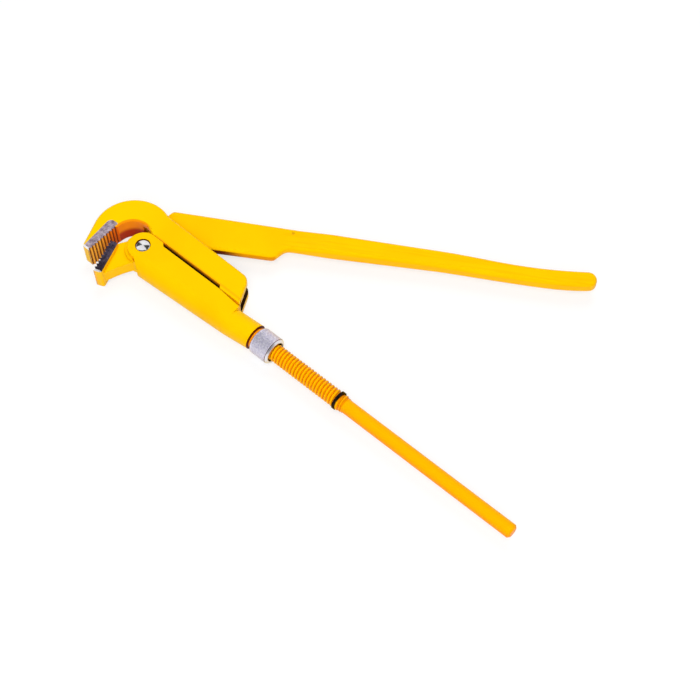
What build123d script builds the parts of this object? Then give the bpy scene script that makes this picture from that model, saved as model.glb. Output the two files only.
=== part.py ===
"""Swedish-pattern pipe wrench with a square hook jaw, lying flat, jaws nearly closed.

Six pieces: the hook jaw forging with its forked shank, foot and screw rod, the jaw lever that swings in
the fork, the yoke that slides on the rod and carries the lever's pivot, the knurled adjusting nut, the
pivot rivet and the stop ring.

Units are mm. Plan places are (along the rod, across it towards the lever), measured from the pivot.
Heights are measured from the middle plane of the forgings. The frame's origin is the middle of the
wrench's box, on the floor.
"""

import os
from math import acos, atan2, cos, degrees, radians, sin, sqrt

from build123d import *

# Forging layers, face to face
THICK = 17.4
FORK_SLOT = 8.4
PLATE_T = 5.6
HANDLE_T = 8.0
EYE_T = 11.4
JAW_WEB_T = 8.6
CHANNEL_W = 11.6
FOOT_W = 11.2

# Hook jaw
HOOK_C = (-12.6, 3.0)
HOOK_R = 24.6
NOSE_LEN = 24.0
NOSE_W = 6.1
NOSE_ROUND = 1.2
TOOTH_X = -22.2
THROAT_C = (-9.8, -0.1)
TOOTH_PITCH = 2.3
TOOTH_DEPTH = 1.25
TOOTH_STEEP = 0.3
SHANK_IN = 9.9
SHANK_OUT = 24.9
BACK_X = -4.0
BACK_ROUND = 12.0
SHANK_CORNER = 65.2
SHANK_ROUND = 7.0
FOOT_START = 57.4
FOOT_END = 73.6
FOOT_LEAD = 1.6
FOOT_EDGE = 7.8
FOOT_FLOOR = 8.8
SLOT_START = -12.6
EDGE_BREAK = 1.0

# Screw rod
SCREW_R = 5.5
CORE_R = 4.7
PLAIN_END = 90.0
RING_AT = 159.2
RING_W = 1.8
SCREW_TAIL = 5.6
HANDLE_R = 4.4
ROD_CHAMFER = 1.2
ROD_END = 286.2

# Jaw lever
JAW_OPEN = 20.0
JAW_TOP = (-18.0, -10.7)
JAW_LEN = 23.2
JAW_BLOCK = 5.2
BLOCK_ROUND = 1.6
WEB_END = 2.0
WEB_HOLLOW = (0.1, -14.4)
WEB_LOW = -38.0
WEB_HIGH = 188.0
WEB_RISE = (1.2, 3.4)
EYE_R = 9.5
EYE_JAW_R = 11.5
EYE_JAW_DIR = 220.5
EYE_JAW_SPAN = 147.0
PLATE_ANGLE = 30.6
PLATE_LOW = 7.5
PLATE_HIGH = 32.1
PLATE_BACK = (-8.0, 33.8)
PLATE_ROUND = 3.5
HEEL_AT = 79.4
HEEL_LOW = 9.0
HEEL_ROUND = 4.0
BAR_START = 85.5
BAR_ROUND = 6.0
BAR_W = 15.0
GRIP_START = 180.0
GRIP_W = 12.2
WAIST_AT = 226.0
WAIST_DIP = 1.9
BELLY_AT = 238.0
BELLY_W = 12.7
RAMP_START = 92.0
RAMP_END = 112.0
TAIL_AT = 271.55
TAIL_LOW = 27.39
TAIL_R = 5.3
TAIL_UP = 128.0
TAIL_DOWN = 312.0
GRIP_R = 2.2

# Sliding yoke
EAR_R = 9.6
EAR_STEP = 8.1
YOKE_EDGE = 7.5
EDGE_DROP = 3.3
YOKE_NOSE = (8.0, -14.0)
YOKE_LIP = (76.0, -10.3)
TROUGH_LIP = 1.0
TUBE_R = 8.3
TUBE_END = 93.3
NECK_R = 6.9
NECK_END = 95.4
BORE_R = 5.58
EYE_CLEAR = 12.3

# Nut, rivet and ring
NUT_R = 8.6
NUT_LEN = 14.0
NUT_PLAY = 0.05
NUT_CHAMFER = 1.0
NUT_BORE = 5.8
COUNTERSINK = 0.7
RIVET_R = 3.0
RIVET_HEAD_R = 4.5
RIVET_CROWN_R = 1.8
HEAD_CLEAR = 0.2
RIVET_SINK = 1.0
RIVET_RIM = 0.3
RIVET_FIT = 0.04
RING_R = 5.9
RING_GAP = 1.2
GROOVE_R = 4.1

# How far a cut runs past what it cuts
CUT_PAST = 20.0

# The lever's plate and the lower jaw's teeth point along these
PLATE_DIR = (cos(radians(PLATE_ANGLE)), sin(radians(PLATE_ANGLE)))
JAW_DIR = (sin(radians(JAW_OPEN)), -cos(radians(JAW_OPEN)))


def on_plate(along, offset):
    """A plan point along the plate's direction and square off it, from the pivot."""
    return (
        along * PLATE_DIR[0] - offset * PLATE_DIR[1],
        along * PLATE_DIR[1] + offset * PLATE_DIR[0],
    )


# The frame: plan places are set out on PLAN, whose zero is the pivot at mid-height
TAIL_C = on_plate(TAIL_AT, TAIL_LOW)
X_MID = (ROD_END + HOOK_C[0] - HOOK_R) / 2
Y_MID = (TAIL_C[1] + TAIL_R + JAW_TOP[1] + JAW_LEN * JAW_DIR[1]) / 2
PLAN = Plane(origin=(-X_MID, -Y_MID, THICK / 2))
SIDE = Plane(origin=PLAN.origin, x_dir=(1, 0, 0), z_dir=(0, -1, 0))
ROD_AXIS = Axis(PLAN.origin, (1, 0, 0))
PIVOT_AXIS = Axis(PLAN.origin, (0, 0, 1))


def across(along, tilt=0.0):
    """A plane square to the rod at a distance from the pivot, turned by tilt in plan."""
    normal = (cos(radians(tilt)), sin(radians(tilt)), 0)
    return Plane(origin=PLAN.from_local_coords((along, 0, 0)), x_dir=(-normal[1], normal[0], 0), z_dir=normal)


def polar(centre, radius, angle):
    """The point at an angle on a circle."""
    return (centre[0] + radius * cos(radians(angle)), centre[1] + radius * sin(radians(angle)))


def rack(start, run, depth_dir):
    """Saw-tooth points from start along run, tips on the line and roots one tooth depth along depth_dir."""
    length = sqrt(run[0] ** 2 + run[1] ** 2)
    count = round(length / TOOTH_PITCH)
    points = []
    for tooth in range(count):
        tip = tooth / count
        root = (tooth + 1 - TOOTH_STEEP) / count
        points.append((start[0] + run[0] * tip, start[1] + run[1] * tip))
        points.append(
            (
                start[0] + run[0] * root + depth_dir[0] * TOOTH_DEPTH,
                start[1] + run[1] * root + depth_dir[1] * TOOTH_DEPTH,
            )
        )
    points.append((start[0] + run[0], start[1] + run[1]))
    return points


def nearest(shapes, *point):
    """The shape closest to a point."""
    return shapes.sort_by_distance(point)[0]


# Hook jaw: one forging, from the hook's nose over the forked shank and the foot to the rod's end
nose_out = (TOOTH_X - NOSE_W, -NOSE_LEN)
nose_reach = (nose_out[0] - HOOK_C[0], nose_out[1] - HOOK_C[1])
nose_angle = degrees(atan2(nose_reach[1], nose_reach[0]))
nose_angle -= degrees(acos(HOOK_R / sqrt(nose_reach[0] ** 2 + nose_reach[1] ** 2)))
back_point = (BACK_X, HOOK_C[1] + sqrt(HOOK_R**2 - (BACK_X - HOOK_C[0]) ** 2))
throat_r = THROAT_C[0] - TOOTH_X
throat_end = (THROAT_C[0] + sqrt(throat_r**2 - (SHANK_IN - THROAT_C[1]) ** 2), SHANK_IN)
recess_end = (FOOT_START - FOOT_LEAD, SHANK_IN)
foot_slant = (FOOT_END - SHANK_CORNER) / (SHANK_OUT - FOOT_EDGE)

with BuildPart() as hook_jaw:
    with BuildSketch(PLAN) as hook_outline:
        with BuildLine():
            ThreePointArc(polar(HOOK_C, HOOK_R, nose_angle), polar(HOOK_C, HOOK_R, 140), back_point)
            Polyline(
                back_point,
                (SHANK_CORNER, SHANK_OUT),
                (FOOT_END, FOOT_EDGE),
                (FOOT_START, FOOT_EDGE),
                recess_end,
                throat_end,
            )
            ThreePointArc(throat_end, polar(THROAT_C, throat_r, 90), (TOOTH_X, THROAT_C[1]))
            Polyline(
                *rack((TOOTH_X, THROAT_C[1]), (0, -NOSE_LEN - THROAT_C[1]), (-1, 0)),
                nose_out,
                polar(HOOK_C, HOOK_R, nose_angle),
            )
        make_face()
        fillet(nearest(hook_outline.vertices(), *back_point, 0), BACK_ROUND)
        fillet(nearest(hook_outline.vertices(), SHANK_CORNER, SHANK_OUT, 0), SHANK_ROUND)
        fillet(nearest(hook_outline.vertices(), *recess_end, 0), FOOT_LEAD / 2)
        fillet(nearest(hook_outline.vertices(), *nose_out, 0), NOSE_ROUND)
    extrude(amount=THICK / 2, both=True)

    # Forged edges are broken outside and in the throat, and left sharp at the teeth and the shank's inner edge
    rims = hook_jaw.edges().group_by(Axis.Z)[-1] + hook_jaw.edges().group_by(Axis.Z)[0]
    inner_x = PLAN.origin.X + TOOTH_X - 2 * TOOTH_DEPTH
    inner_y = PLAN.origin.Y + SHANK_IN + EDGE_BREAK / 2
    chamfer([rim for rim in rims if rim.center().X < inner_x or rim.center().Y > inner_y], EDGE_BREAK)

    # The fork: a slot on the middle plane, open along both edges and at the end, for the lever's plate
    with BuildSketch(PLAN):
        with BuildLine():
            Polyline(
                (SLOT_START, 0),
                (FOOT_START, 0),
                (FOOT_START, FOOT_FLOOR),
                (FOOT_END + CUT_PAST, FOOT_FLOOR),
                (FOOT_END + CUT_PAST, SHANK_OUT + CUT_PAST),
                (SLOT_START, SHANK_OUT + CUT_PAST),
                close=True,
            )
        make_face()
    extrude(amount=FORK_SLOT / 2, both=True, mode=Mode.SUBTRACT)

    # The foot joins both cheeks to the rod through the yoke's channel
    with BuildSketch(PLAN):
        with BuildLine():
            Polyline(
                (FOOT_START, 0),
                (FOOT_END, 0),
                (FOOT_END, FOOT_EDGE),
                (FOOT_END - foot_slant * (FOOT_FLOOR - FOOT_EDGE), FOOT_FLOOR),
                (FOOT_START, FOOT_FLOOR),
                close=True,
            )
        make_face()
    extrude(amount=FOOT_W / 2, both=True)

    # The rod: plain in the yoke, the screw's core, the ring's groove, then the round handle
    with BuildSketch(SIDE):
        with BuildLine():
            Polyline(
                (FOOT_START, 0),
                (FOOT_START, CORE_R),
                (FOOT_START + SCREW_R - CORE_R, SCREW_R),
                (PLAIN_END, SCREW_R),
                (PLAIN_END + SCREW_R - CORE_R, CORE_R),
                (RING_AT - RING_W / 2, CORE_R),
                (RING_AT - RING_W / 2, GROOVE_R),
                (RING_AT + RING_W / 2, GROOVE_R),
                (RING_AT + RING_W / 2, CORE_R),
                (RING_AT + SCREW_TAIL, CORE_R),
                (RING_AT + SCREW_TAIL + CORE_R - HANDLE_R, HANDLE_R),
                (ROD_END - ROD_CHAMFER, HANDLE_R),
                (ROD_END, HANDLE_R - ROD_CHAMFER),
                (ROD_END, 0),
                close=True,
            )
        make_face()
    revolve(axis=ROD_AXIS)
hook_jaw.part.label = "hook_jaw"

# Jaw lever: handle and plate in one bar, the eye, and the lower jaw with its toothed block
heel = on_plate(HEEL_AT, HEEL_LOW)
bar_low = on_plate(BAR_START, PLATE_HIGH - BAR_W)
grip_low = on_plate(GRIP_START, PLATE_HIGH - GRIP_W)
grip_top = on_plate(GRIP_START, PLATE_HIGH)
tail_low = polar(TAIL_C, TAIL_R, TAIL_DOWN)
tail_top = polar(TAIL_C, TAIL_R, TAIL_UP)

with BuildPart() as jaw_lever:
    with BuildSketch(PLAN) as bar_outline:
        with BuildLine():
            Polyline(
                grip_top,
                PLATE_BACK,
                (-EYE_R, EYE_R / 2),
                (0, 0),
                on_plate(sqrt(EYE_R**2 - PLATE_LOW**2), PLATE_LOW),
                heel,
                bar_low,
                grip_low,
            )
            Spline(
                grip_low,
                on_plate(BELLY_AT, PLATE_HIGH - BELLY_W),
                tail_low,
                tangents=(PLATE_DIR, polar((0, 0), 1, TAIL_DOWN + 90)),
            )
            Spline(
                tail_low,
                polar(TAIL_C, TAIL_R, (TAIL_DOWN - 360 + TAIL_UP) / 2),
                tail_top,
                tangents=(polar((0, 0), 1, TAIL_DOWN + 90), polar((0, 0), 1, TAIL_UP + 90)),
            )
            Spline(
                tail_top,
                on_plate(WAIST_AT, PLATE_HIGH - WAIST_DIP),
                grip_top,
                tangents=(polar((0, 0), 1, TAIL_UP + 90), (-PLATE_DIR[0], -PLATE_DIR[1])),
            )
        make_face()
        fillet(nearest(bar_outline.vertices(), *PLATE_BACK, 0), PLATE_ROUND)
        fillet(nearest(bar_outline.vertices(), *heel, 0), HEEL_ROUND)
        fillet(nearest(bar_outline.vertices(), *bar_low, 0), BAR_ROUND)
    extrude(amount=HANDLE_T / 2, both=True)

    # The bar thins from the grip to the plate that runs in the fork
    lever_side = Plane(origin=PLAN.origin, x_dir=(*PLATE_DIR, 0), z_dir=(PLATE_DIR[1], -PLATE_DIR[0], 0))
    with BuildSketch(lever_side):
        with BuildLine():
            Polyline(
                (-ROD_END, PLATE_T / 2),
                (RAMP_START, PLATE_T / 2),
                (RAMP_END, HANDLE_T / 2),
                (2 * ROD_END, HANDLE_T / 2),
                (2 * ROD_END, -HANDLE_T / 2),
                (RAMP_END, -HANDLE_T / 2),
                (RAMP_START, -PLATE_T / 2),
                (-ROD_END, -PLATE_T / 2),
                close=True,
            )
        make_face()
    extrude(amount=ROD_END, both=True, mode=Mode.INTERSECT)

    # The long edges are rounded, round the tail and on along the plate
    grip_start = PLAN.from_local_coords((*on_plate(RAMP_START, PLATE_HIGH), 0)).X
    rims = jaw_lever.edges().filter_by(lambda rim: abs(rim.center().Z - THICK / 2) > PLATE_T / 2 - 0.1)
    fillet([rim for rim in rims if rim.center().X > grip_start and rim.length > BAR_W], GRIP_R)

    # The eye fills the yoke's channel, and is wider where the lower jaw springs from it
    with BuildSketch(PLAN):
        Circle(EYE_JAW_R)
        reach = EYE_JAW_R * cos(radians(EYE_JAW_SPAN / 2))
        with Locations(Location((*polar((0, 0), reach, EYE_JAW_DIR), 0), (0, 0, EYE_JAW_DIR))):
            Rectangle(3 * EYE_R, 3 * EYE_R, align=(Align.MIN, Align.CENTER), mode=Mode.INTERSECT)
        Circle(EYE_R)
    extrude(amount=EYE_T / 2, both=True)

    # The lower jaw's web, hollow-backed, between the eye and the toothed block
    jaw_end = (JAW_TOP[0] + JAW_LEN * JAW_DIR[0], JAW_TOP[1] + JAW_LEN * JAW_DIR[1])
    jaw_back = (-JAW_DIR[1], JAW_DIR[0])
    block_foot = (jaw_end[0] + JAW_BLOCK * jaw_back[0], jaw_end[1] + JAW_BLOCK * jaw_back[1])
    web_top = (JAW_TOP[0] + 0.5 * JAW_BLOCK * jaw_back[0], JAW_TOP[1] + 0.5 * JAW_BLOCK * jaw_back[1])
    web_foot = (block_foot[0] - WEB_END * JAW_DIR[0], block_foot[1] - WEB_END * JAW_DIR[1])
    with BuildSketch(PLAN):
        with BuildLine():
            Spline(
                web_foot,
                WEB_HOLLOW,
                polar((0, 0), EYE_R, WEB_LOW),
                tangents=((0.35, 1), (1, 0.75)),
            )
            Polyline(
                polar((0, 0), EYE_R, WEB_LOW),
                (0, 0),
                polar((0, 0), EYE_JAW_R, WEB_HIGH),
                (web_top[0] + WEB_RISE[0], web_top[1] + WEB_RISE[1]),
                web_top,
                jaw_end,
                web_foot,
            )
        make_face()
    extrude(amount=JAW_WEB_T / 2, both=True)

    # The toothed block, as thick as the hook
    with BuildSketch(PLAN) as block_outline:
        with BuildLine():
            Polyline(
                *rack(JAW_TOP, (JAW_LEN * JAW_DIR[0], JAW_LEN * JAW_DIR[1]), jaw_back),
                block_foot,
                (JAW_TOP[0] + JAW_BLOCK * jaw_back[0], JAW_TOP[1] + JAW_BLOCK * jaw_back[1]),
                JAW_TOP,
            )
        make_face()
        fillet(nearest(block_outline.vertices(), *block_foot, 0), BLOCK_ROUND)
    extrude(amount=THICK / 2, both=True)
    block_end = ((jaw_end[0] + block_foot[0]) / 2, (jaw_end[1] + block_foot[1]) / 2)
    ends = [PLAN.from_local_coords((*block_end, height)) for height in (THICK / 2, -THICK / 2)]
    chamfer([nearest(jaw_lever.edges(), *end) for end in ends], EDGE_BREAK)

    # The pivot's bore
    with BuildSketch(PLAN):
        Circle(RIVET_R + RIVET_FIT)
    extrude(amount=THICK, both=True, mode=Mode.SUBTRACT)
jaw_lever.part.label = "jaw_lever"

# Sliding yoke: a trough of even wall that rises into a tube, with two ears at the pivot
yoke_tilt = degrees(atan2(YOKE_LIP[1] - YOKE_NOSE[1], YOKE_LIP[0] - YOKE_NOSE[0]))
trough_start = across(-EAR_R, yoke_tilt)
trough_low = trough_start.to_local_coords(PLAN.from_local_coords((*YOKE_LIP, 0)))
trough_mid = trough_low.X + THICK / 2
ear_low = (EAR_R / 8, -EAR_R)


def trough(width, length):
    """A straight half-round trough along the yoke, open at the top."""
    with BuildSketch(trough_start) as profile:
        with Locations((trough_mid, 0)):
            Circle(width / 2)
            Rectangle(4 * EAR_R, width, align=(Align.MIN, Align.CENTER))
    return extrude(profile.sketch, amount=length, mode=Mode.PRIVATE)


with BuildPart() as slide_yoke:
    add(trough(THICK, trough_low.Z))
    with BuildSketch(PLAN):
        Circle(EAR_R)
        with BuildLine():
            Polyline(
                (0, EAR_R),
                (EAR_STEP, EAR_R),
                (EAR_STEP + EAR_R - YOKE_EDGE, YOKE_EDGE),
                (FOOT_START, YOKE_EDGE),
                (TUBE_END, YOKE_EDGE - EDGE_DROP),
                (TUBE_END, -THICK),
                (2 * YOKE_NOSE[0] - ear_low[0], 2 * YOKE_NOSE[1] - ear_low[1]),
                ear_low,
                (0, 0),
                close=True,
            )
        make_face()
    extrude(amount=THICK, both=True, mode=Mode.INTERSECT)

    # The trough's round goes on as the tube, and a neck bears on the nut
    with BuildSketch(trough_start.offset(trough_low.Z)):
        with Locations((trough_mid, 0)):
            Circle(THICK / 2)
    with BuildSketch(across(TUBE_END)):
        Circle(TUBE_R)
    loft(ruled=True)
    with BuildSketch(across(TUBE_END)):
        Circle(NECK_R)
    extrude(amount=NECK_END - TUBE_END)

    # The trough for the foot and the lever's eye, clear of the jaw's swing, and the rod's bore
    add(trough(CHANNEL_W, trough_low.Z - TROUGH_LIP), mode=Mode.SUBTRACT)
    with BuildSketch(PLAN):
        Circle(EYE_CLEAR)
    extrude(amount=CHANNEL_W / 2, both=True, mode=Mode.SUBTRACT)
    with BuildSketch(across(0)):
        Circle(BORE_R)
    extrude(amount=2 * TUBE_END, mode=Mode.SUBTRACT)

    # The rivet's seats in the ears
    with BuildSketch(PLAN):
        Circle(RIVET_R)
    extrude(amount=THICK, both=True, mode=Mode.SUBTRACT)
    for face_z in (-THICK / 2, THICK / 2 - RIVET_SINK):
        with BuildSketch(PLAN.offset(face_z)):
            Circle(RIVET_HEAD_R + HEAD_CLEAR)
        extrude(amount=RIVET_SINK, mode=Mode.SUBTRACT)
slide_yoke.part.label = "slide_yoke"

# Adjusting nut: turned, chamfered at both ends and countersunk towards the handle
nut_start = NECK_END + NUT_PLAY
nut_end = nut_start + NUT_LEN

with BuildPart() as adjusting_nut:
    with BuildSketch(SIDE):
        with BuildLine():
            Polyline(
                (nut_start, NUT_BORE),
                (nut_start, NUT_R - NUT_CHAMFER),
                (nut_start + NUT_CHAMFER, NUT_R),
                (nut_end - NUT_CHAMFER, NUT_R),
                (nut_end, NUT_R - NUT_CHAMFER),
                (nut_end, NUT_BORE + COUNTERSINK),
                (nut_end - COUNTERSINK, NUT_BORE),
                close=True,
            )
        make_face()
    revolve(axis=ROD_AXIS)
adjusting_nut.part.label = "adjusting_nut"

# Pivot rivet: a pin with a crowned head sunk in each ear
head_seat = THICK / 2 - RIVET_SINK
head_edge = head_seat + RIVET_RIM

with BuildPart() as pivot_rivet:
    with BuildSketch(SIDE):
        with BuildLine():
            Polyline(
                (0, THICK / 2),
                (RIVET_CROWN_R, THICK / 2),
                (RIVET_HEAD_R, head_edge),
                (RIVET_HEAD_R, head_seat),
                (RIVET_R, head_seat),
                (RIVET_R, 0),
                (0, 0),
                close=True,
            )
        make_face()
    revolve(axis=PIVOT_AXIS)
    mirror(about=PLAN)
pivot_rivet.part.label = "pivot_rivet"

# Stop ring: a split ring sprung into the groove at the end of the screw
with BuildPart() as stop_ring:
    with BuildSketch(across(RING_AT - RING_W / 2)):
        Circle(RING_R)
        Circle(GROOVE_R, mode=Mode.SUBTRACT)
        with Locations((0, -RING_R)):
            Rectangle(RING_GAP, 2 * RING_R, mode=Mode.SUBTRACT)
    extrude(amount=RING_W)
stop_ring.part.label = "stop_ring"

os.makedirs("parts", exist_ok=True)
export_step(hook_jaw.part, "parts/hook_jaw.step")
export_step(jaw_lever.part, "parts/jaw_lever.step")
export_step(slide_yoke.part, "parts/slide_yoke.step")
export_step(adjusting_nut.part, "parts/adjusting_nut.step")
export_step(pivot_rivet.part, "parts/pivot_rivet.step")
export_step(stop_ring.part, "parts/stop_ring.step")
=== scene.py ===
"""Looks of a yellow Swedish-pattern pipe wrench, lying flat with its jaws nearly closed.

Plan places are in mm from the pivot: along the rod, across it towards the lever, and up from mid-height.
Places of the stage are in metres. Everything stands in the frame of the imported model.
A pair of levels says where a mask is 0 and where it is 1, and a share how strongly a colour covers.
"""

import math

import bmesh
import bpy
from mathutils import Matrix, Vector

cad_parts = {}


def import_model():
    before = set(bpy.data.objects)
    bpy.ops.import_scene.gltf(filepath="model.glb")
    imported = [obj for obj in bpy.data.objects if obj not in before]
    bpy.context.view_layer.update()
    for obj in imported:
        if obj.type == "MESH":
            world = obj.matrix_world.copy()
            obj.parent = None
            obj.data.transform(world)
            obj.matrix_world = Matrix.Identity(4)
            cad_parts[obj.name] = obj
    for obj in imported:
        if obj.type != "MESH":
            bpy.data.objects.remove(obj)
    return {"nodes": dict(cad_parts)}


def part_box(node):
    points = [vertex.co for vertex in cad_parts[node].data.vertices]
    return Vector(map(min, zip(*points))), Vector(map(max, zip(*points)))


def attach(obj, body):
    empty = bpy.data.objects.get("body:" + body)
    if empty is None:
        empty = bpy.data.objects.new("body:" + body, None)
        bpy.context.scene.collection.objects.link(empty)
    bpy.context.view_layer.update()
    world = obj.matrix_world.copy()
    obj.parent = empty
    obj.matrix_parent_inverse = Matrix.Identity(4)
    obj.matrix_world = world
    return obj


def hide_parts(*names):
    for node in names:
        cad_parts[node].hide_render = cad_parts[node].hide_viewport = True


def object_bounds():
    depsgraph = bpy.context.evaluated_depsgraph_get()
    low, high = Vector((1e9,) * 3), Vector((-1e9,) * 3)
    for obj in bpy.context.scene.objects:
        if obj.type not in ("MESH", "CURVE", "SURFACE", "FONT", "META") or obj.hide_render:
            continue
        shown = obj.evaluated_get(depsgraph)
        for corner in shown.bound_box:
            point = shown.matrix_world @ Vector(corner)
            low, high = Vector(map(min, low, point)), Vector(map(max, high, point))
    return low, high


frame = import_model()
cad_low, cad_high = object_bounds()

MM = 0.001
ANY_HEIGHT = 1e6
rivet_low, rivet_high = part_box("pivot_rivet")
PIVOT = (rivet_low + rivet_high) / 2

# Camera: the place it aims at, and its way there
TARGET = (138.3, 34.1, -8.7)
HEADING = (-0.6534, 0.7570)
PITCH = 59.0
DISTANCE = 0.852
LENS = 73.03
SENSOR = 36.0
NEAR_CLIP = 0.01

# Square lamps: place from the target, side and power
KEY_SPOT = (0.25, -0.38, 1.1)
KEY_SIDE = 0.6
KEY_POWER = 7.2
BACK_SPOT = (-0.40, 0.65, 0.80)
BACK_SIDE = 0.8
BACK_POWER = 5.8
FRONT_PITCH = 35.0
FRONT_REACH = 1.2
FRONT_SIDE = 0.7
FRONT_POWER = 6.0

# Floor and world
FLOOR_HALF = 3.0
FLOOR_CELLS = 8
FLOOR_DROP = 0.0002
FLOOR_FADE = (0.30, 0.75)
FLOOR_SHADED = 0.30
FLOOR_GLOW = 0.69
FLOOR_BOUNCE = 0.82
WORLD_LIGHT = 0.26

# Two wedges over the rivet and one card behind the camera, for the metal to reflect
WEDGE_REACH = 0.2
WEDGE_TIP = 0.02
WEDGE_BASE = 0.62
WEDGE_HALF = 0.36
WEDGE_TURN = 25.0
WEDGE_SHADE = 0.012
CARD_BEHIND = 0.3
CARD_HALF = 1.1
CARD_SHADE = 0.3
CARD_MOTTLE = 1.5
CARD_SCALE = 8.0

# Teeth of both jaws
TOOTH_DEPTH = 1.25
TOOTH_STEEP = 0.3
TOOTH_GROOVE_SHADE = (0.4, 1.0)

# Hook: toothed face, ground side, throat, slide wall and fork
JAW_X = -22.2
NOSE_END = -24.0
NOSE_TIP = (NOSE_END + 1.1, NOSE_END + 1.0)
NOSE_FACE = (-21.0, -22.0)
FRESH_PAINT = (12.0, -24.0)
FRESH_SHARE = 0.6
ROD_AMBER = (78.0, 96.0)
GROUND_AT = (-24.6, -11.4)
GROUND_TURN = 5.0
GROUND_HALF = (3.9, 12.9)
GROUND_ROUND = 3.0
THROAT_AT = (-15.0, 6.0)
THROAT_HALF = (8.4, 7.6)
THROAT_ROUND = 3.0
THROAT_SOFT = 0.8
# Height at which the throat's painted shade turns crimson
THROAT_SHADE_DROP = (2.2, -1.8)
HOOK_TEETH_AT = (JAW_X - 0.6, -12.0)
HOOK_TEETH_HALF = (0.72, 12.1)
HOOK_TEETH_ROUND = 0.1
# Painted shade in the hook's grooves, and on its flanks towards the throat
HOOK_GROOVE_SHADE = (JAW_X - 0.35 * TOOTH_DEPTH, JAW_X - 0.75 * TOOTH_DEPTH)
HOOK_GROOVE_SHADE_SHARE = 0.9
HOOK_FLANK = (-16.0, -2.0)
# Painted shade in the gap along the yoke and inside the fork
SLIDE_FROM = (-1.0, 2.0)
SLIDE_WALL = (9.5, 10.3)
SLIDE_RIM = (9.4, 10.9)
SLIDE_RIM_SOFT = 0.5
SLIDE_RIM_SHARE = 0.4
SLIDE_SHADE_DROP = (8.2, 4.4)
FORK_HALF = 4.5
FORK_FROM = (6.0, 7.0)

# Lever: toothed block, handle, the plate's lower edge and the corner at the yoke's mouth
LOWER_JAW = (-18.0, -10.7)
LOWER_ANGLE = 20.0
LOWER_LENGTH = 23.2
LOWER_TEETH = 10
LOWER_TIP = (1.1 - LOWER_LENGTH, 1.0 - LOWER_LENGTH)
LOWER_TIP_REACH = (5.4, 4.4)
LOWER_TOP = (0.1, -0.1)
LOWER_ROOT = (1.45, 1.3)
LOWER_FRONT = (-2.0, -1.0)
LOWER_GROOVE_SHADED = (1.6 - LOWER_LENGTH, 2.6 - LOWER_LENGTH)
LOWER_DARK = (-21.0, -7.0)
LOWER_DARK_SHARE = 0.6
BLOCK_UP = (7.5, 7.8)
PLATE_ANGLE = 30.6
HANDLE_FROM = (60.0, 90.0)
HANDLE_SHADE_SHARE = 0.3
EDGE_AT = (40.9, 32.9)
EDGE_HALF = (34.0, 3.0)
EDGE_SHADE_HALF = (14.0, 3.0)
EDGE_SHADE = (10.0, -6.0)
EDGE_SHARE = 0.6
EDGE_ROUND = 1.0
EDGE_SOFT = 0.5
MOUTH_AT = (4.6, -11.8)
MOUTH_TURN = -32.9
MOUTH_HALF = (4.6, 0.7)
MOUTH_ROUND = 0.3
MOUTH_SOFT = 0.6

# Yoke: end of its tube, neck and slide face
TUBE_END = 93.3
NECK_R = 6.9
NECK_FROM = (TUBE_END - 0.1, TUBE_END)
NECK_SHADE = (TUBE_END + 1.0, TUBE_END + 0.5)
NECK_END_FACE = (NECK_R, NECK_R + 0.3)
YOKE_SHADE_SHARE = 0.2
YOKE_SLIDE = (8.5, 57.0)
YOKE_SLIDE_SOFT = 0.5

# Screw: fades are in turns
SCREW_PITCH = 2.31
SCREW_FROM = 91.6
SCREW_TO = 164.4
SCREW_ROOT = 4.6
SCREW_CREST = 5.5
SCREW_SHADED = (SCREW_ROOT + 0.2, SCREW_ROOT + 0.1)
SCREW_SHADE_SHARE = 0.6
RING_GROOVE = (158.2, 160.2)
TURN_STEPS = 28
THREAD_PROFILE = (
    (-0.98, 0.0),
    (-0.62, 0.42),
    (-0.34, 0.9),
    (0.0, 1.0),
    (0.34, 0.9),
    (0.62, 0.42),
    (0.98, 0.0),
)
THREAD_LEAST = 0.02
THREAD_NARROW = 0.35
THREAD_SUNK = 0.5
THREAD_AMBER_SHARE = 0.85
THREAD_SHADED = (SCREW_CREST - 0.15, SCREW_ROOT + 0.15)
THREAD_SHADE_SHARE = 0.6
FADE_AT_NUT = 0.8
FADE_AT_RING = 0.12
FADE_AT_ROD = 1.2

# Nut: its back and front are points, each a distance in from the end and a drop below the knurl's crests
nut_low, nut_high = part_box("adjusting_nut")
NUT_FROM = (nut_low.x - PIVOT.x) / MM
NUT_TO = (nut_high.x - PIVOT.x) / MM
NUT_R = 8.6
NUT_BORE = 5.8
KNURLS = 42
KNURL_STEPS = 6
KNURL_PITCH = 1.3
KNURL_DEPTH = 0.32
KNURL_FLANK = 1.5
KNURL_FROM = NUT_FROM + 1.3
KNURL_TO = NUT_TO - 1.5
KNURL_FADE = 2
NUT_BACK = ((0.0, 1.0), (0.12, 0.86), (0.85, 0.12), (1.0, 0.4 * KNURL_DEPTH))
NUT_FRONT = ((1.25, 0.4 * KNURL_DEPTH), (1.1, 0.1), (0.15, 0.85), (0.0, 1.0))
NUT_MOUTH_DEPTH = 0.7
NUT_MOUTH_WIDTH = 0.75
NUT_BORE_SHADE = (6.6, 6.4)
NUT_RIM = (NUT_TO - 1.2, NUT_TO - 1.0)
NUT_CREASE = (NUT_TO - 1.5, NUT_TO - 1.15)

# Rivet
RIVET_R = 3.0
HEAD_R = 4.5
HEAD_TOP = 8.7
HEAD_EDGE = 7.95
HEAD_SEAT = 7.7
HEAD_GAP = (HEAD_R + 0.3, HEAD_R + 0.18)
DOME_STEPS = 16
RIVET_SIDES = 72

# How level a face lies: 1 is flat, 0 is upright
LEVEL = (0.9, 0.97)
UPRIGHT = (0.55, 0.4)
CHAMFERED = (0.55, 0.85)
OFF_LEVEL = (0.95, 0.8)
FORK_LEVEL = (0.8, 0.95)
BLOCK_LEVEL = (0.5, 0.62)
TOOTH_UPRIGHT = (0.6, 0.4)
EDGE_UPRIGHT = (0.75, 0.45)
MOUTH_LEVEL = (0.5, 0.9)
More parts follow.
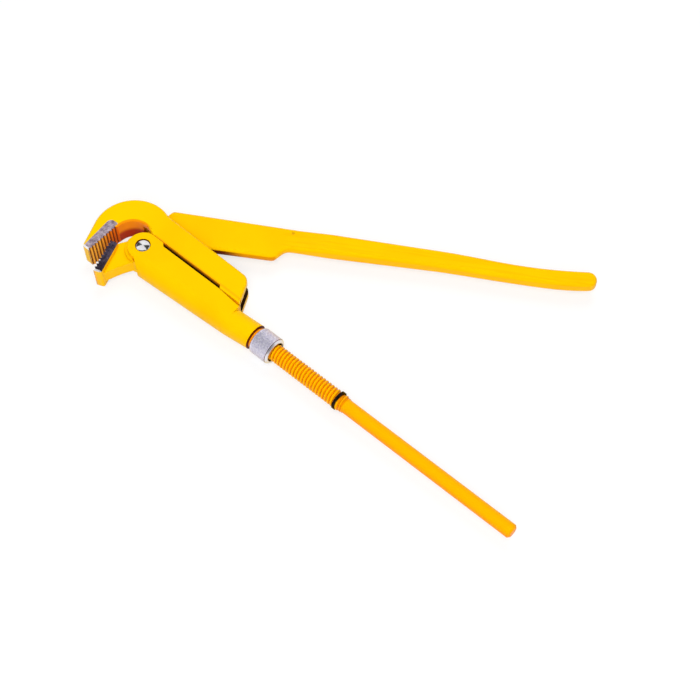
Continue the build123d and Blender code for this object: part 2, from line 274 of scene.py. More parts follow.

# How far a face looks up, and how far the yoke's faces look towards the lever
# Lower sides get painted shade
UNDERSIDE_SHADE = (0.8, 0.0)
YOKE_FACING = (0.85, 0.97)

# Paint: noise scales are for each metre, and heights are parts of the lift, which is in mm
COARSE_DETAIL = 2.0
FINE_DETAIL = 4.0
DRIFT_SCALE = 38.0
DRIFT = (0.35, 0.7)
NICK_SCALE = 95.0
NICK_CHOSEN = (0.86, 0.88)
NICK_SIZE = (0.165, 0.115)
NICK_RAGGED = 0.09
NICK_RAGGED_SCALE = 1100.0
NICK_STRENGTH = 0.5
NICK_DEPTH = 0.9
# Painted shade in crevices: how far to look for shelter, and how strongly it darkens
SHADE_REACH = 4.5
SHADE_SHELTER = (0.70, 0.20)
CREVICE_SHADE = 0.7
CREVICE_SHADE_YOKE = 0.25
SHADE_SAMPLES = 8
GLOSS_SCALE = 140.0
GLOSS_ROUGHNESS = (0.28, 0.44)
WAVE_SCALE = 210.0
WAVE_HEIGHT = 0.5
PEEL_SCALE = 1300.0
PEEL_HEIGHT = 0.18
STREAK_STRETCH = (0.02, 0.55, 0.55)
STREAK = (0.46, 0.66)
STREAK_SHARE = 0.35
STREAK_ROUGHNESS = 0.5
STREAK_HEIGHT = 1.2
PAINT_LIFT = 0.16
PAINT_EDGE = 0.7
PAINT_GLOSS = 0.12
THREAD_EDGE = 0.15
SLIDE_ROUGHNESS = 0.9
EDGE_SAMPLES = 6

# Ground steel and bare metal
SCRATCH_STRETCH = (0.35, 5.0, 1.0)
SCRATCH_DETAIL = 5.0
SCRATCH_ROUGHNESS = 0.7
SCRATCH_SHARE = 0.6
SCRATCH_HEIGHT = 0.25
CLOUD_SCALE = 420.0
STEEL_GRAIN = (0.36, 0.66)
HOOK_SCRATCHES = 68.0
HOOK_STEEL_ROUGHNESS = 0.42
JAW_SCRATCHES = -70.0
JAW_STEEL_ROUGHNESS = 0.45
METAL_DETAIL = 5.0
METAL_NOISE_ROUGHNESS = 0.65
METAL_GRAIN = (0.35, 0.65)
METAL_HEIGHT = 0.3
METAL_LIFT = 0.05
METAL_EDGE = 0.2
ZINC_SCALE = 900.0
ZINC_ROUGHNESS = (0.28, 0.46)
ZINC_GLOSS = 0.5
RING_SCALE = 600.0
RING_ROUGHNESS = (0.35, 0.55)
RIVET_SCALE = 400.0
RIVET_ROUGHNESS = (0.06, 0.14)
RIVET_LIFT = 0.002

# Colours
YELLOW = (0.95, 0.545, 0.0, 1.0)
YELLOW_WARM = (0.95, 0.51, 0.0, 1.0)
LEMON = (0.95, 0.60, 0.0, 1.0)
AMBER = (0.96, 0.41, 0.0, 1.0)
# Tangerine is painted shade on the rod's lower side
TANGERINE = (1.0, 0.30, 0.0, 1.0)
ORANGE = (0.95, 0.30, 0.004, 1.0)
FLAME = (1.0, 0.47, 0.04, 1.0)
# Deeper flame is painted shade on the hook's teeth towards the throat
FLAME_DEEP = (0.85, 0.16, 0.0, 1.0)
# Ember and crimson are colours of painted shade
EMBER = (0.62, 0.12, 0.0, 1.0)
CRIMSON = (0.50, 0.035, 0.0, 1.0)
NICKED = (0.30, 0.11, 0.01, 1.0)
# Colours of painted shade in grooves, gaps, the fork and the nut's bore
DEEP_SHADE = (0.13, 0.012, 0.002, 1.0)
GAP_SHADE = (0.05, 0.004, 0.0, 1.0)
BLACK_SHADE = (0.025, 0.008, 0.004, 1.0)
GLINT = (1.0, 0.72, 0.12, 1.0)
BEVEL = (0.95, 0.93, 0.95, 1.0)
HOOK_STEEL_LIGHT = (0.95, 0.82, 0.93, 1.0)
HOOK_STEEL_DARK = (0.26, 0.18, 0.25, 1.0)
JAW_STEEL_LIGHT = (0.20, 0.16, 0.24, 1.0)
JAW_STEEL_DARK = (0.03, 0.02, 0.04, 1.0)
JAW_STEEL_SHADED = (0.02, 0.014, 0.02, 1.0)
ZINC_LIGHT = (0.90, 0.88, 1.0, 1.0)
ZINC_DARK = (0.64, 0.61, 0.80, 1.0)
ZINC_RIM = (0.80, 0.79, 0.84, 1.0)
BLACK_LIGHT = (0.035, 0.024, 0.022, 1.0)
BLACK_DARK = (0.012, 0.008, 0.008, 1.0)
POLISHED_LIGHT = (0.88, 0.87, 0.88, 1.0)
POLISHED_DARK = (0.74, 0.72, 0.74, 1.0)
WHITE = (1.0, 1.0, 1.0, 1.0)


def grey(level):
    """A neutral colour."""
    return (level, level, level, 1.0)


def place(along, across, up=0.0):
    """A plan place in the model's frame."""
    return PIVOT + Vector((along, across, up)) * MM


class Graph:
    """A node tree under construction, of a material or of the world."""

    def __init__(self, owner):
        owner.use_nodes = True
        self.owner = owner
        self.tree = owner.node_tree

    def put(self, socket, value):
        """Links a socket or sets a constant."""
        if isinstance(value, bpy.types.NodeSocket):
            self.tree.links.new(value, socket)
        else:
            socket.default_value = value

    def add(self, kind, inputs=None, output=0, **settings):
        """A new node with its inputs filled by name or index; returns one of its outputs."""
        node = self.tree.nodes.new(kind)
        for key, value in settings.items():
            setattr(node, key, value)
        for key, value in (inputs or {}).items():
            self.put(node.inputs[key], value)
        return node.outputs[output]

    def math(self, operation, *values):
        """One step of arithmetic on numbers."""
        return self.add("ShaderNodeMath", dict(enumerate(values)), operation=operation)

    def vector(self, operation, *values, output=0):
        """One step of arithmetic on vectors."""
        return self.add("ShaderNodeVectorMath", dict(enumerate(values)), output, operation=operation)

    def product(self, *values):
        """Several masks or numbers multiplied."""
        result = values[0]
        for value in values[1:]:
            result = self.math("MULTIPLY", result, value)
        return result

    def ramp(self, value, low, high):
        """0 at low, 1 at high, smooth between."""
        inputs = {"Value": value, "From Min": low, "From Max": high}
        return self.add("ShaderNodeMapRange", inputs, interpolation_type="SMOOTHSTEP")

    def band(self, value, low, high, soft=0.05):
        """1 between two levels."""
        above = self.ramp(value, low - soft, low + soft)
        below = self.ramp(value, high + soft, high - soft)
        return self.product(above, below)

    def mix(self, factor, first, second):
        """A colour between two others."""
        return self.add("ShaderNodeMix", {0: factor, 6: first, 7: second}, 2, data_type="RGBA")

    def blend(self, factor, first, second):
        """A number between two others."""
        return self.add("ShaderNodeMix", {0: factor, 2: first, 3: second})

    def coordinate(self, kind):
        """Texture coordinates of one kind, such as Object or Normal."""
        return self.add("ShaderNodeTexCoord", output=kind)

    def split(self, vector):
        """The three numbers of a vector."""
        node = self.tree.nodes.new("ShaderNodeSeparateXYZ")
        self.put(node.inputs[0], vector)
        return tuple(node.outputs)

    def length(self, vector, axes=(1.0, 1.0, 1.0)):
        """Length of a vector along the axes that count."""
        counted = self.vector("MULTIPLY", vector, axes)
        return self.vector("LENGTH", counted, output=1)

    def noise(self, scale, detail=3.0, roughness=0.55, vector=None):
        """Soft noise, on the object's metres unless other coordinates are given."""
        if vector is None:
            vector = self.coordinate("Object")
        inputs = {"Vector": vector, "Scale": scale, "Detail": detail, "Roughness": roughness}
        return self.add("ShaderNodeTexNoise", inputs)

    def plan(self):
        """Object coordinates in mm from the pivot."""
        moved = self.vector("SUBTRACT", self.coordinate("Object"), tuple(PIVOT))
        return self.vector("MULTIPLY", moved, (1 / MM,) * 3)

    def local(self, centre=(0.0, 0.0), angle=0.0):
        """Plan coordinates about a centre, turned by an angle."""
        moved = self.vector("SUBTRACT", self.plan(), (*centre, 0.0))
        inputs = {"Vector": moved, "Angle": math.radians(-angle)}
        return self.add("ShaderNodeVectorRotate", inputs, rotation_type="Z_AXIS")

    def patch(self, local, half, corner, soft=0.12):
        """1 inside a rounded rectangle in plan, at any height."""
        inner = (half[0] - corner, half[1] - corner, ANY_HEIGHT)
        beyond = self.vector("SUBTRACT", self.vector("ABSOLUTE", local), inner)
        outside = self.vector("MAXIMUM", beyond, (0.0, 0.0, 0.0))
        return self.ramp(self.length(outside), corner + soft, corner - soft)

    def from_rod(self):
        """Distance from the rod's axis."""
        return self.length(self.plan(), (0.0, 1.0, 1.0))

    def flatness(self):
        """1 on faces that lie flat, 0 on walls."""
        return self.math("ABSOLUTE", self.split(self.coordinate("Normal"))[2])

    def underside_shade(self):
        """0 on faces that look up, 1 on walls and below, where shade is painted."""
        return self.ramp(self.split(self.coordinate("Normal"))[2], *UNDERSIDE_SHADE)

    def seen(self):
        """1 for rays of the camera, of reflections and through glass, 0 for light on the object."""
        path = self.tree.nodes.new("ShaderNodeLightPath")
        result = path.outputs["Is Camera Ray"]
        for ray in ("Is Glossy Ray", "Is Transmission Ray"):
            result = self.math("MAXIMUM", result, path.outputs[ray])
        return result


class Finish(Graph):
    """A surface under construction; paint and metal give it a first colour, roughness and height."""

    def __init__(self, name):
        super().__init__(bpy.data.materials.new(name))
        self.metal = 0.0

    def cover(self, mask, colour):
        """Lays a colour over the surface where the mask is 1."""
        self.colour = self.mix(mask, self.colour, colour)

    def roughen(self, mask, roughness):
        """Changes the roughness where the mask is 1."""
        self.roughness = self.blend(mask, self.roughness, roughness)

    def emboss(self, mask, height):
        """Changes the height where the mask is 1."""
        self.height = self.blend(mask, self.height, height)

    def close(self, lift, edge, gloss=PAINT_GLOSS):
        """Links the surface into the shader, with softened edges, and returns the material."""
        inputs = self.tree.nodes["Principled BSDF"].inputs
        self.put(inputs["Base Color"], self.colour)
        self.put(inputs["Roughness"], self.roughness)
        self.put(inputs["Metallic"], self.metal)
        self.put(inputs["Specular IOR Level"], gloss)
        self.put(inputs["Specular Tint"], GLINT)
        rounded = self.add("ShaderNodeBevel", {"Radius": edge * MM}, samples=EDGE_SAMPLES)
        bump = {"Strength": 1.0, "Distance": lift * MM, "Height": self.height, "Normal": rounded}
        self.put(inputs["Normal"], self.add("ShaderNodeBump", bump))
        return self.owner


def paint(name, crevice_shade=CREVICE_SHADE):
    """Glossy enamel on a forging, with a few nicks, and painted shade darkening its crevices."""
    finish = Finish(name)
    drift = finish.ramp(finish.noise(DRIFT_SCALE, COARSE_DETAIL), *DRIFT)
    finish.colour = finish.mix(drift, YELLOW, YELLOW_WARM)

    on_plan = finish.vector("MULTIPLY", finish.coordinate("Object"), (1.0, 1.0, 0.0))
    cells = {"Vector": on_plan, "Scale": NICK_SCALE}
    from_middle = finish.add("ShaderNodeTexVoronoi", cells, "Distance")
    lot = finish.split(finish.add("ShaderNodeTexVoronoi", cells, "Color"))[0]
    ragged = finish.product(finish.noise(NICK_RAGGED_SCALE, COARSE_DETAIL), NICK_RAGGED)
    spot = finish.ramp(finish.math("ADD", from_middle, ragged), *NICK_SIZE)
    nick = finish.product(finish.ramp(lot, *NICK_CHOSEN), finish.ramp(finish.flatness(), *LEVEL), spot)
    finish.cover(finish.product(nick, NICK_STRENGTH), NICKED)

    # Painted shade: sheltered crevices turn ember
    reach = {"Distance": SHADE_REACH * MM}
    shelter = finish.add("ShaderNodeAmbientOcclusion", reach, "AO", samples=SHADE_SAMPLES, only_local=True)
    finish.cover(finish.product(finish.ramp(shelter, *SHADE_SHELTER), crevice_shade), EMBER)

    finish.roughness = finish.blend(finish.noise(GLOSS_SCALE, FINE_DETAIL), *GLOSS_ROUGHNESS)
    wave = finish.product(finish.noise(WAVE_SCALE, COARSE_DETAIL), WAVE_HEIGHT)
    peel = finish.product(finish.noise(PEEL_SCALE, COARSE_DETAIL), PEEL_HEIGHT)
    skin = finish.math("ADD", wave, peel)
    finish.height = finish.math("SUBTRACT", skin, finish.product(nick, NICK_DEPTH))
    return finish


def brushed(finish, light, dark, direction):
    """Colour and height of ground steel, with fine scratches along one direction of the plan."""
    lines = finish.vector("MULTIPLY", finish.local(angle=direction), SCRATCH_STRETCH)
    scratch = finish.noise(1.0, SCRATCH_DETAIL, SCRATCH_ROUGHNESS, lines)
    cloud = finish.noise(CLOUD_SCALE, FINE_DETAIL)
    grain = finish.blend(SCRATCH_SHARE, cloud, scratch)
    colour = finish.mix(finish.ramp(grain, *STEEL_GRAIN), dark, light)
    return colour, finish.product(scratch, SCRATCH_HEIGHT)


def hook_tones(finish):
    """Paint fresher on the hook, amber along the rod with painted shade on its lower side, and painted
    shade at the thread's root.
    """
    along = finish.split(finish.plan())[0]
    finish.cover(finish.product(finish.ramp(along, *FRESH_PAINT), finish.flatness(), FRESH_SHARE), LEMON)
    rod = finish.ramp(along, *ROD_AMBER)
    # Painted shade: tangerine on the rod's lower side
    finish.cover(rod, finish.mix(finish.underside_shade(), AMBER, TANGERINE))
    # Painted shade at the root of the thread
    root = finish.ramp(finish.from_rod(), *SCREW_SHADED)
    screw = finish.band(along, SCREW_FROM, SCREW_TO)
    finish.cover(finish.product(rod, root, screw, SCREW_SHADE_SHARE), EMBER)


def hook_steel(finish):
    """The ground side of the hook's jaw and its bright tip."""
    flat = finish.flatness()
    along, across, _ = finish.split(finish.plan())
    ground = finish.patch(finish.local(GROUND_AT, GROUND_TURN), GROUND_HALF, GROUND_ROUND)
    ground = finish.product(ground, finish.ramp(flat, *LEVEL))
    steel, scratches = brushed(finish, HOOK_STEEL_LIGHT, HOOK_STEEL_DARK, HOOK_SCRATCHES)
    finish.cover(ground, steel)
    finish.roughen(ground, HOOK_STEEL_ROUGHNESS)
    finish.emboss(ground, scratches)
    tip = finish.product(
        finish.band(flat, *CHAMFERED),
        finish.ramp(across, *NOSE_TIP),
        finish.ramp(along, *NOSE_FACE),
    )
    finish.cover(tip, BEVEL)
    finish.metal = finish.math("MAXIMUM", ground, tip)


def hook_throat(finish):
    """The throat's wall in painted shade, orange above and crimson below."""
    flat = finish.flatness()
    up = finish.split(finish.plan())[2]
    throat = finish.patch(finish.local(THROAT_AT), THROAT_HALF, THROAT_ROUND, THROAT_SOFT)
    # Painted shade on the throat's walls, deeper on their lower half
    finish.cover(finish.product(throat, finish.ramp(flat, *OFF_LEVEL)), ORANGE)
    sunk = finish.product(throat, finish.ramp(flat, *UPRIGHT), finish.ramp(up, *THROAT_SHADE_DROP))
    finish.cover(sunk, CRIMSON)


def hook_teeth(finish):
    """The hook's teeth, with painted shade dark in their grooves and deeper on the flanks towards the
    throat.
    """
    along, across, _ = finish.split(finish.plan())
    face = finish.patch(finish.local(HOOK_TEETH_AT), HOOK_TEETH_HALF, HOOK_TEETH_ROUND)
    # Painted shade: deeper flanks towards the throat and dark grooves
    flank = finish.mix(finish.ramp(across, *HOOK_FLANK), FLAME, FLAME_DEEP)
    groove_shade = finish.product(finish.ramp(along, *HOOK_GROOVE_SHADE), HOOK_GROOVE_SHADE_SHARE)
    teeth = finish.product(face, finish.ramp(finish.flatness(), *UPRIGHT))
    finish.cover(teeth, finish.mix(groove_shade, flank, DEEP_SHADE))


def hook_slide(finish):
    """Painted shade on the wall that the yoke slides along, orange at its rim and nearly black lower
    down, and black inside the fork.
    """
    flat = finish.flatness()
    along, across, up = finish.split(finish.plan())
    beside_yoke = finish.ramp(along, *SLIDE_FROM)
    rim = finish.band(across, *SLIDE_RIM, SLIDE_RIM_SOFT)
    # Painted shade in the gap between shank and yoke
    finish.cover(finish.product(rim, beside_yoke, SLIDE_RIM_SHARE), ORANGE)
    wall = finish.product(finish.ramp(flat, *UPRIGHT), finish.band(across, *SLIDE_WALL), beside_yoke)
    finish.roughen(wall, SLIDE_ROUGHNESS)
    finish.cover(wall, finish.mix(finish.ramp(up, *SLIDE_SHADE_DROP), ORANGE, GAP_SHADE))
    fork = finish.product(
        finish.band(up, -FORK_HALF, FORK_HALF),
        finish.ramp(flat, *FORK_LEVEL),
        finish.ramp(across, *FORK_FROM),
    )
    # Painted shade inside the fork
    finish.cover(fork, BLACK_SHADE)


def hook_material():
    """The hook, shank and rod."""
    finish = paint("hook_paint")
    hook_tones(finish)
    hook_steel(finish)
    hook_throat(finish)
    hook_teeth(finish)
    hook_slide(finish)
    return finish.close(PAINT_LIFT, PAINT_EDGE)


def lever_handle(finish):
    """Streaks along the forged handle, and painted shade deepening its lower side."""
    bar = finish.local(angle=PLATE_ANGLE)
    handle = finish.ramp(finish.split(bar)[0], *HANDLE_FROM)
    # Painted shade on the handle's lower side
    finish.cover(finish.product(handle, finish.underside_shade(), HANDLE_SHADE_SHARE), AMBER)
    lines = finish.vector("MULTIPLY", bar, STREAK_STRETCH)
    streak = finish.product(finish.noise(1.0, COARSE_DETAIL, STREAK_ROUGHNESS, lines), handle)
    finish.cover(finish.product(finish.ramp(streak, *STREAK), STREAK_SHARE), AMBER)
    finish.height = finish.math("ADD", finish.height, finish.product(streak, STREAK_HEIGHT))


def lever_steel(finish):
    """The ground block of the lower jaw, with painted shade darkening it towards its bright tip."""
    flat = finish.flatness()
    reach, down, _ = finish.split(finish.local(LOWER_JAW, LOWER_ANGLE))
    up = finish.math("ABSOLUTE", finish.split(finish.plan())[2])
    ground = finish.product(finish.ramp(up, *BLOCK_UP), finish.ramp(flat, *BLOCK_LEVEL))
    steel, scratches = brushed(finish, JAW_STEEL_LIGHT, JAW_STEEL_DARK, JAW_SCRATCHES)
    # Painted shade darkens the block towards its tip
    shaded = finish.mix(LOWER_DARK_SHARE, steel, JAW_STEEL_SHADED)
    finish.cover(ground, finish.mix(finish.ramp(down, *LOWER_DARK), shaded, steel))
    finish.roughen(ground, JAW_STEEL_ROUGHNESS)
    finish.emboss(ground, scratches)
    tip = finish.product(
        finish.band(flat, *CHAMFERED),
        finish.ramp(down, *LOWER_TIP),
        finish.ramp(reach, *LOWER_TIP_REACH),
    )
    finish.cover(tip, BEVEL)
    finish.metal = finish.math("MAXIMUM", ground, tip)


def lever_teeth(finish):
    """The lower jaw's teeth, with painted shade dark in their grooves but not right at the tip."""
    reach, down, _ = finish.split(finish.local(LOWER_JAW, LOWER_ANGLE))
    teeth = finish.product(
        finish.ramp(reach, *LOWER_ROOT),
        finish.ramp(finish.flatness(), *TOOTH_UPRIGHT),
        finish.ramp(down, *LOWER_TOP),
        finish.ramp(reach, *LOWER_FRONT),
    )
    # Painted shade in the grooves, laid out by the tooth pitch
    phase = finish.math("FRACT", finish.math("DIVIDE", down, -LOWER_LENGTH / LOWER_TEETH))
    gentle = finish.math("DIVIDE", phase, 1.0 - TOOTH_STEEP)
    steep = finish.math("DIVIDE", finish.math("SUBTRACT", 1.0, phase), TOOTH_STEEP)
    groove = finish.ramp(finish.math("MINIMUM", gentle, steep), *TOOTH_GROOVE_SHADE)
    groove_shade = finish.product(groove, finish.ramp(down, *LOWER_GROOVE_SHADED))
    finish.cover(teeth, finish.mix(groove_shade, FLAME, DEEP_SHADE))


def lever_edges(finish):
    """Painted shade on the plate's lower edge, darker where it enters the fork, and in the corner at the
    yoke's mouth.
    """
    flat = finish.flatness()
    edge = finish.local(EDGE_AT, PLATE_ANGLE)
    wall = finish.ramp(flat, *EDGE_UPRIGHT)
    whole = finish.patch(edge, EDGE_HALF, EDGE_ROUND, EDGE_SOFT)
    # Painted shade along the plate's lower edge, deepest where it enters the fork
    finish.cover(finish.product(whole, wall, EDGE_SHARE), EMBER)
    entry = finish.patch(edge, EDGE_SHADE_HALF, EDGE_ROUND, EDGE_SOFT)
    finish.cover(finish.product(entry, finish.ramp(finish.split(edge)[0], *EDGE_SHADE), wall), DEEP_SHADE)
    # Painted shade in the corner at the yoke's mouth
    mouth = finish.patch(finish.local(MOUTH_AT, MOUTH_TURN), MOUTH_HALF, MOUTH_ROUND, MOUTH_SOFT)
    finish.cover(finish.product(mouth, finish.ramp(flat, *MOUTH_LEVEL)), EMBER)


def lever_material():
    """The lower jaw, plate and handle."""
    finish = paint("lever_paint")
    lever_handle(finish)
    lever_steel(finish)
    lever_teeth(finish)
    lever_edges(finish)
    return finish.close(PAINT_LIFT, PAINT_EDGE)


def yoke_material():
    """Paint, with painted shade on its lower sides, an orange neck behind the nut that darkens with
    painted shade towards the tube and its end face, a painted shadow in the gap round the rivet, and
    painted black shade on the slide face.
    """
    finish = paint("yoke_paint", CREVICE_SHADE_YOKE)
    # Painted shade on the lower sides
    finish.cover(finish.product(finish.underside_shade(), YOKE_SHADE_SHARE), AMBER)
    plan = finish.plan()
    along = finish.split(plan)[0]
    # Painted shade: the neck darkens towards the tube, and the tube's end face is dark
    neck = finish.mix(finish.ramp(along, *NECK_SHADE), ORANGE, DEEP_SHADE)
    end_face = finish.ramp(finish.from_rod(), *NECK_END_FACE)
    finish.cover(finish.ramp(along, *NECK_FROM), finish.mix(end_face, neck, DEEP_SHADE))
    from_pivot = finish.length(plan, (1.0, 1.0, 0.0))
    # Painted shadow in the gap round the rivet's head
    finish.cover(finish.ramp(from_pivot, *HEAD_GAP), DEEP_SHADE)
    # Painted black shade on the face towards the shank
    slide_face = finish.ramp(finish.split(finish.coordinate("Normal"))[1], *YOKE_FACING)
    finish.cover(finish.product(slide_face, finish.band(along, *YOKE_SLIDE, YOKE_SLIDE_SOFT)), BLACK_SHADE)
    return finish.close(PAINT_LIFT, PAINT_EDGE)


def thread_material():
    """Amber paint, with painted shade darker towards the root of the thread."""
    finish = paint("thread_paint")
    finish.cover(THREAD_AMBER_SHARE, AMBER)
    # Painted shade towards the thread's root
    deep = finish.ramp(finish.from_rod(), *THREAD_SHADED)
    finish.cover(finish.product(deep, THREAD_SHADE_SHARE), EMBER)
    return finish.close(PAINT_LIFT, THREAD_EDGE)


def metal(name, light, dark, roughness, scale):
    """Bare metal with a fine grain."""
    finish = Finish(name)
    grain = finish.noise(scale, METAL_DETAIL, METAL_NOISE_ROUGHNESS)
    finish.colour = finish.mix(finish.ramp(grain, *METAL_GRAIN), dark, light)
    finish.roughness = finish.blend(grain, *roughness)
    finish.height = finish.product(grain, METAL_HEIGHT)
    finish.metal = 1.0
    return finish


def nut_material():
    """Dull zinc, with a pale rim, a painted dark reflection in the crease behind it and painted shade
    round the screw.
    """
    finish = metal("nut_zinc", ZINC_LIGHT, ZINC_DARK, ZINC_ROUGHNESS, ZINC_SCALE)
    along = finish.split(finish.plan())[0]
    bore_shade = finish.ramp(finish.from_rod(), *NUT_BORE_SHADE)
    unshaded = finish.math("SUBTRACT", 1.0, bore_shade)
    finish.cover(finish.product(finish.ramp(along, *NUT_RIM), unshaded), ZINC_RIM)
    # Painted dark reflection in the crease behind the rim
    finish.cover(finish.band(along, *NUT_CREASE), DEEP_SHADE)
    # Painted shade in the bore round the screw
    finish.cover(bore_shade, BLACK_SHADE)
    return finish.close(METAL_LIFT, METAL_EDGE, ZINC_GLOSS)


def ring_material():
    """Blackened spring steel."""
    finish = metal("ring_black", BLACK_LIGHT, BLACK_DARK, RING_ROUGHNESS, RING_SCALE)
    return finish.close(METAL_LIFT, METAL_EDGE)


def rivet_material():
    """Polished steel."""
    finish = metal("rivet_steel", POLISHED_LIGHT, POLISHED_DARK, RIVET_ROUGHNESS, RIVET_SCALE)
    return finish.close(RIVET_LIFT, METAL_EDGE)


def show(name, data):
    """A new object in the scene."""
    obj = bpy.data.objects.new(name, data)
    bpy.context.scene.collection.objects.link(obj)
    return obj


def dress(node, material):
    """Gives a carried-over node its material."""
    node.data.materials.clear()
    node.data.materials.append(material)


def piece(name, grid, material, body, closed):
    """A mesh from rows of points, each row a loop; the rows close in a ring or end in caps."""
    mesh = bpy.data.meshes.new(name)
    work = bmesh.new()
    rows = [[work.verts.new(point) for point in row] for row in grid]
    pairs = list(zip(rows, rows[1:]))
    if closed:
        pairs.append((rows[-1], rows[0]))
    for row, after in pairs:
        for i in range(len(row)):
            j = (i + 1) % len(row)
            work.faces.new((row[i], row[j], after[j], after[i]))
    if not closed:
        work.faces.new(reversed(rows[0]))
        work.faces.new(rows[-1])
    bmesh.ops.recalc_face_normals(work, faces=work.faces)
    for face in work.faces:
        face.smooth = True
    work.to_mesh(mesh)
    work.free()
    mesh.materials.append(material)
    obj = show(name, mesh)
    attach(obj, body)
    return obj


def thread(name, start, end, fade_in, fade_out, material):
    """A right-hand helical ridge on the rod's core, run out at its ends over the given turns."""
    turns = (end - start) / SCREW_PITCH
    steps = int(turns * TURN_STEPS)
    grid = []
    for step in range(steps + 1):
        turn = turns * step / steps
        angle = 2 * math.pi * turn
        full = max(0.0, min(1.0, turn / fade_in, (turns - turn) / fade_out))
        rise = THREAD_LEAST + (1.0 - THREAD_LEAST) * full
        width = SCREW_PITCH / 2 * (THREAD_NARROW + (1.0 - THREAD_NARROW) * rise)
        depth = (SCREW_CREST - SCREW_ROOT) * rise
        section = [(width * shift, depth * level) for shift, level in THREAD_PROFILE]
        section.append((0.0, -THREAD_SUNK))
        row = []
        for shift, height in section:
            radius = SCREW_ROOT + height
            along = start + SCREW_PITCH * turn + shift
            row.append(place(along, -radius * math.sin(angle), radius * math.cos(angle)))
        grid.append(row)
    piece(name, grid, material, "hook", False)


def knurled_nut(material):
    """The adjusting nut with a diamond knurl between its chamfered ends."""
    count = KNURLS * KNURL_STEPS
    rows = round((KNURL_TO - KNURL_FROM) / KNURL_PITCH * KNURL_STEPS)
    back = [(NUT_FROM, NUT_BORE)] + [(NUT_FROM + inset, NUT_R - drop) for inset, drop in NUT_BACK]
    front = [(NUT_TO - inset, NUT_R - drop) for inset, drop in NUT_FRONT]
    front += [(NUT_TO, NUT_BORE + NUT_MOUTH_WIDTH), (NUT_TO - NUT_MOUTH_DEPTH, NUT_BORE)]
    grid = []
    for step in range(count):
        angle = 2 * math.pi * step / count
        around = step / KNURL_STEPS
        knurl = []
        for row in range(rows + 1):
            along = KNURL_FROM + (KNURL_TO - KNURL_FROM) * row / rows
            turn = (along - KNURL_FROM) / KNURL_PITCH
            from_groove = min(abs((around + turn) % 1.0 - 0.5), abs((around - turn) % 1.0 - 0.5)) * 2
            sunk = 1.0 - min(1.0, KNURL_FLANK * from_groove)
            fade = min(1.0, row / KNURL_FADE, (rows - row) / KNURL_FADE)
            knurl.append((along, NUT_R - KNURL_DEPTH * sunk * fade))
        y = math.cos(angle)
        z = math.sin(angle)
        grid.append([place(along, radius * y, radius * z) for along, radius in back + knurl + front])
    nut = piece("knurled_nut", grid, material, "nut", True)
    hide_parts("adjusting_nut")


def domed_rivet(material):
    """The pivot rivet with a polished dome at each end."""
    half = []
    for step in range(1, DOME_STEPS + 1):
        angle = math.pi / 2 * step / DOME_STEPS
        half.append((HEAD_EDGE + (HEAD_TOP - HEAD_EDGE) * math.cos(angle), HEAD_R * math.sin(angle)))
    half += [(HEAD_SEAT, HEAD_R), (HEAD_SEAT, RIVET_R)]
    profile = half + [(-up, radius) for up, radius in reversed(half)]
    angles = [2 * math.pi * step / RIVET_SIDES for step in range(RIVET_SIDES)]
    round_pivot = [(math.cos(angle), math.sin(angle)) for angle in angles]
    grid = [[place(radius * x, radius * y, up) for x, y in round_pivot] for up, radius in profile]
    rivet = piece("rivet_domed", grid, material, "yoke", False)
    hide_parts("pivot_rivet")


def floor():
    """A white floor that keeps the shadow near the object and fades into the background."""
    work = bmesh.new()
    bmesh.ops.create_grid(work, x_segments=FLOOR_CELLS, y_segments=FLOOR_CELLS, size=FLOOR_HALF)
    mesh = bpy.data.meshes.new("floor")
    work.to_mesh(mesh)
    work.free()
    obj = show("floor", mesh)
    obj.location.z = cad_low.z - FLOOR_DROP

    graph = Graph(bpy.data.materials.new("floor_white"))
    far = graph.ramp(graph.length(graph.coordinate("Object")), *FLOOR_FADE)
    shaded = graph.add("ShaderNodeBsdfDiffuse", {"Color": graph.mix(far, grey(FLOOR_SHADED), grey(0.0))})
    glow = {"Color": WHITE, "Strength": graph.blend(far, FLOOR_GLOW, 1.0)}
    shown = graph.add("ShaderNodeAddShader", {0: shaded, 1: graph.add("ShaderNodeEmission", glow)})
    bounce = graph.add("ShaderNodeBsdfDiffuse", {"Color": grey(FLOOR_BOUNCE)})
    surface = graph.add("ShaderNodeMixShader", {0: graph.seen(), 1: bounce, 2: shown})
    graph.put(graph.tree.nodes["Material Output"].inputs["Surface"], surface)
    mesh.materials.append(graph.owner)


def world():
    """White where it is seen, and a soft light on the object."""
    graph = Graph(bpy.data.worlds.new("studio"))
    inputs = graph.tree.nodes["Background"].inputs
    graph.put(inputs["Color"], WHITE)
    graph.put(inputs["Strength"], graph.blend(graph.seen(), WORLD_LIGHT, 1.0))
    bpy.context.scene.world = graph.owner


def sight_line(pitch):
    """The photograph's heading, turned down by an angle."""
    angle = math.radians(pitch)
    return Vector((HEADING[0] * math.cos(angle), HEADING[1] * math.cos(angle), -math.sin(angle)))


def lamp(name, spot, aim, side, power):
    """A soft square lamp that reflections don't show."""
    data = bpy.data.lights.new(name, "AREA")
    data.shape = "RECTANGLE"
    data.size = side
    data.size_y = side
    data.energy = power
    obj = show(name, data)
    obj.location = spot
    obj.rotation_euler = (aim - spot).to_track_quat("-Z", "Y").to_euler()
    obj.visible_glossy = False


def card(name, corners, shade):
    """A dull card that only reflections see."""
    mesh = bpy.data.meshes.new(name)
    mesh.from_pydata(corners, [], [tuple(range(len(corners)))])
    graph = Graph(bpy.data.materials.new(name))
    mottled = graph.mix(graph.noise(CARD_SCALE), grey(shade), grey(CARD_MOTTLE * shade))
    graph.put(graph.tree.nodes["Principled BSDF"].inputs["Base Color"], mottled)
    mesh.materials.append(graph.owner)
    obj = show(name, mesh)
    obj.visible_camera = False
    obj.visible_diffuse = False
    obj.visible_shadow = False


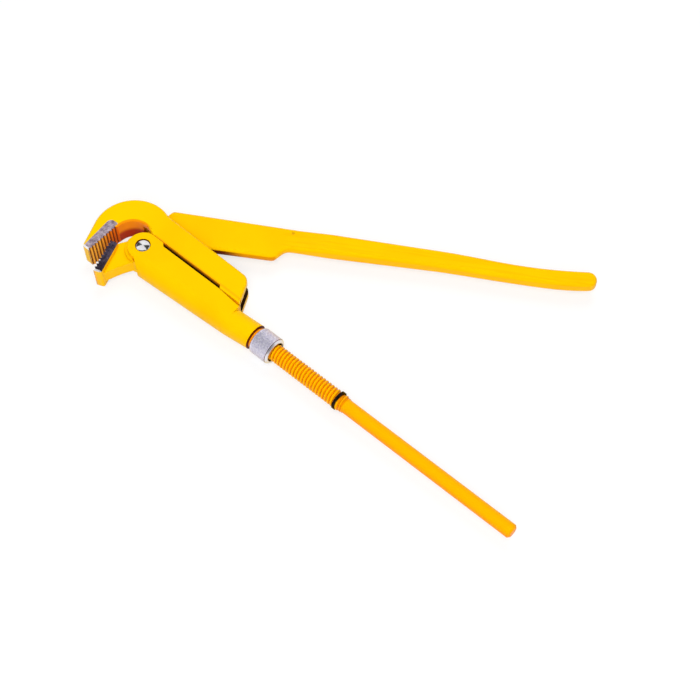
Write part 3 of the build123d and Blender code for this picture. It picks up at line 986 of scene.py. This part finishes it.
def cards(eye, look):
    """Two dark wedges that the rivet's dome reflects as a bow tie, and a grey card behind the camera."""
    side = Vector((HEADING[1], -HEADING[0], 0.0))
    head = place(0.0, 0.0, HEAD_TOP)
    sight = (head - eye).normalized()
    mirrored = Vector((sight.x, sight.y, -sight.z))
    over = side.cross(mirrored)
    turn = math.radians(WEDGE_TURN)
    along = math.cos(turn) * side + math.sin(turn) * over
    across = math.cos(turn) * over - math.sin(turn) * side
    for name, way in (("flag_left", -1), ("flag_right", 1)):
        tip = mirrored + way * WEDGE_TIP * along
        base = mirrored + way * WEDGE_BASE * along
        ends = (tip, base - WEDGE_HALF * across, base + WEDGE_HALF * across)
        card(name, [head + WEDGE_REACH * end for end in ends], WEDGE_SHADE)
    middle = eye - CARD_BEHIND * look
    rise = side.cross(look)
    square = ((-1, -1), (1, -1), (1, 1), (-1, 1))
    card("flag_back", [middle + CARD_HALF * (i * side + j * rise) for i, j in square], CARD_SHADE)


def camera(eye, look):
    """The photograph's view."""
    data = bpy.data.cameras.new("view")
    data.lens = LENS
    data.sensor_width = SENSOR
    data.clip_start = NEAR_CLIP
    obj = show("view", data)
    obj.location = eye
    obj.rotation_euler = look.to_track_quat("-Z", "Y").to_euler()
    bpy.context.scene.camera = obj
    bpy.context.scene.view_settings.view_transform = "Standard"


def stage():
    """White floor and world, three soft lamps, cards for the metal and the photograph's view."""
    centre = place(*TARGET)
    look = sight_line(PITCH)
    eye = centre - DISTANCE * look
    floor()
    world()
    lamp("key", centre + Vector(KEY_SPOT), centre, KEY_SIDE, KEY_POWER)
    lamp("back", centre + Vector(BACK_SPOT), centre, BACK_SIDE, BACK_POWER)
    lamp("front", centre - FRONT_REACH * sight_line(FRONT_PITCH), centre, FRONT_SIDE, FRONT_POWER)
    cards(eye, look)
    camera(eye, look)


nodes = frame["nodes"]
dress(nodes["hook_jaw"], hook_material())
dress(nodes["jaw_lever"], lever_material())
dress(nodes["slide_yoke"], yoke_material())
dress(nodes["stop_ring"], ring_material())
thread_paint = thread_material()
thread("screw_thread", SCREW_FROM, RING_GROOVE[0], FADE_AT_NUT, FADE_AT_RING, thread_paint)
thread("screw_runout", RING_GROOVE[1], SCREW_TO, FADE_AT_RING, FADE_AT_ROD, thread_paint)
knurled_nut(nut_material())
domed_rivet(rivet_material())
stage()
